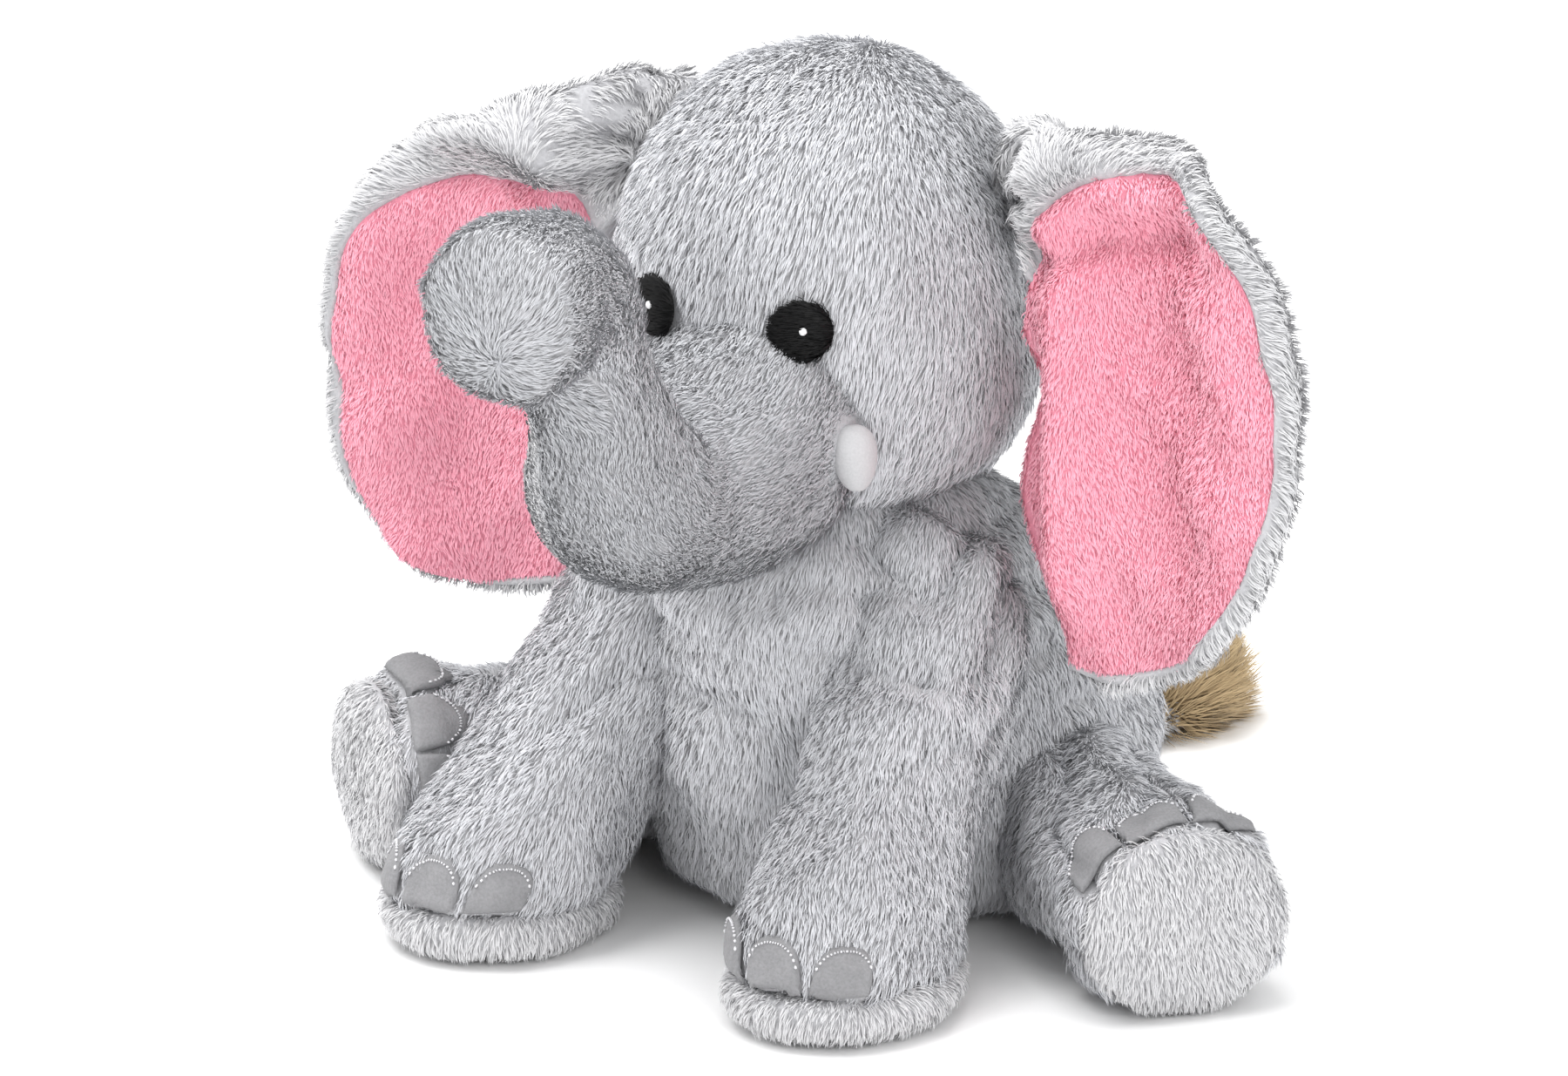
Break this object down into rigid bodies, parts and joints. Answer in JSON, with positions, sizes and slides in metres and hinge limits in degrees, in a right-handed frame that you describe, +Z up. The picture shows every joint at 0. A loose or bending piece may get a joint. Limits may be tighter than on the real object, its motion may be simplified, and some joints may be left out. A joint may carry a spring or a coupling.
{
  "type": "stuffed elephant",
  "caption": "Seated plush elephant with a raised curled trunk, large lined ears, padded soles, stitched toenails and a tufted tail; the neck, trunk, ears, legs and tail bend.",
  "frame": {"origin": "middle of the underside of the flat seat panel, which lies on the floor", "axes": "+Z up; the elephant faces -Y; its left side is at +X"},
  "size_m": [0.3008, 0.3494, 0.237],
  "materials": {
    "grey_plush": "long soft grey pile",
    "pale_plush": "paler grey pile",
    "pink_plush": "short pink pile",
    "nail_plush": "short-pile grey patch edged with white stitching",
    "tan_pile": "long tan pile",
    "white_felt": "smooth white felt or thread",
    "black_thread": "glossy black embroidery",
    "fibre_stuffing": "loose polyester fibre",
    "pouch_cloth": "plain cotton pouch"
  },
  "bodies": {
    "torso": {"torso_cover": "grey_plush", "torso_stuffing": "fibre_stuffing", "pellet_pouch": "pouch_cloth", "seat_panel": "grey_plush"},
    "neck": {"neck_stuffing": "fibre_stuffing"},
    "head": {"head_cover": "grey_plush", "head_stuffing": "fibre_stuffing", "muzzle_cover": "grey_plush", "muzzle_stuffing": "fibre_stuffing", "eye_left": "black_thread", "eye_right": "black_thread", "eye_highlight_left": "white_felt", "eye_highlight_right": "white_felt", "tusk_left": "white_felt", "tusk_right": "white_felt"},
    "trunk": {"trunk_cover": "grey_plush", "trunk_gusset": "pale_plush", "trunk_tip_panel": "grey_plush", "trunk_stuffing": "fibre_stuffing"},
    "ear_left": {"ear_left_back": "grey_plush", "ear_left_lining": "pink_plush"},
    "ear_right": {"ear_right_back": "grey_plush", "ear_right_lining": "pink_plush"},
    "front_leg_left": {"front_leg_left_cover": "grey_plush", "front_leg_left_stuffing": "fibre_stuffing", "front_leg_left_sole": "pale_plush", "front_leg_left_toenail_inner": "nail_plush", "front_leg_left_toenail_middle": "nail_plush", "front_leg_left_toenail_outer": "nail_plush"},
    "front_leg_right": {"front_leg_right_cover": "grey_plush", "front_leg_right_stuffing": "fibre_stuffing", "front_leg_right_sole": "pale_plush", "front_leg_right_toenail_inner": "nail_plush", "front_leg_right_toenail_middle": "nail_plush", "front_leg_right_toenail_outer": "nail_plush"},
    "hind_leg_left": {"hind_leg_left_cover": "grey_plush", "hind_leg_left_stuffing": "fibre_stuffing", "hind_leg_left_sole": "pale_plush", "hind_leg_left_toenail_inner": "nail_plush", "hind_leg_left_toenail_middle": "nail_plush", "hind_leg_left_toenail_outer": "nail_plush"},
    "hind_leg_right": {"hind_leg_right_cover": "grey_plush", "hind_leg_right_stuffing": "fibre_stuffing", "hind_leg_right_sole": "pale_plush", "hind_leg_right_toenail_inner": "nail_plush", "hind_leg_right_toenail_middle": "nail_plush", "hind_leg_right_toenail_outer": "nail_plush"},
    "tail": {"tail_sleeve": "grey_plush", "tail_tuft": "tan_pile"}
  },
  "joints": [
    {"name": "head_turn", "type": "hinge", "parent": "torso", "child": "neck", "pos_m": [0, -0.044, 0.115], "axis": [0, 0, 1], "range_deg": [-12, 12], "stiffness_Nm_per_rad": 0.6},
    {"name": "head_nod", "type": "hinge", "parent": "neck", "child": "head", "pos_m": [0, -0.044, 0.115], "axis": [0.9962, 0.0872, 0], "range_deg": [-8, 8], "stiffness_Nm_per_rad": 2},
    {"name": "trunk_bend", "type": "hinge", "parent": "head", "child": "trunk", "pos_m": [0.00575, -0.10975, 0.1375], "axis": [0.9962, 0.0872, 0], "range_deg": [-15, 22], "stiffness_Nm_per_rad": 0.8},
    {"name": "ear_left_flap", "type": "hinge", "parent": "head", "child": "ear_left", "pos_m": [0.04993, -0.02959, 0.205], "axis": [0, 0, 1], "range_deg": [-10, 35], "stiffness_Nm_per_rad": 0.08},
    {"name": "ear_right_flap", "type": "hinge", "parent": "head", "child": "ear_right", "pos_m": [-0.05168, -0.03848, 0.205], "axis": [0, 0, 1], "range_deg": [-28, 4], "stiffness_Nm_per_rad": 0.08},
    {"name": "front_leg_left_lift", "type": "hinge", "parent": "torso", "child": "front_leg_left", "pos_m": [0.041, -0.046, 0.096], "axis": [1, 0, 0], "range_deg": [-35, 0], "stiffness_Nm_per_rad": 0.3},
    {"name": "front_leg_right_lift", "type": "hinge", "parent": "torso", "child": "front_leg_right", "pos_m": [-0.041, -0.046, 0.096], "axis": [1, 0, 0], "range_deg": [-22, 0], "stiffness_Nm_per_rad": 0.3},
    {"name": "hind_leg_left_spread", "type": "hinge", "parent": "torso", "child": "hind_leg_left", "pos_m": [0.05, -0.006, 0.0265], "axis": [0, 0, 1], "range_deg": [-10, 20], "stiffness_Nm_per_rad": 0.3},
    {"name": "hind_leg_right_spread", "type": "hinge", "parent": "torso", "child": "hind_leg_right", "pos_m": [-0.05, -0.006, 0.0265], "axis": [0, 0, 1], "range_deg": [-20, 0], "stiffness_Nm_per_rad": 0.3},
    {"name": "tail_swing", "type": "hinge", "parent": "torso", "child": "tail", "pos_m": [0, 0.0671, 0.0066], "axis": [0, 0, 1], "range_deg": [-40, 40], "stiffness_Nm_per_rad": 0.05}
  ]
}
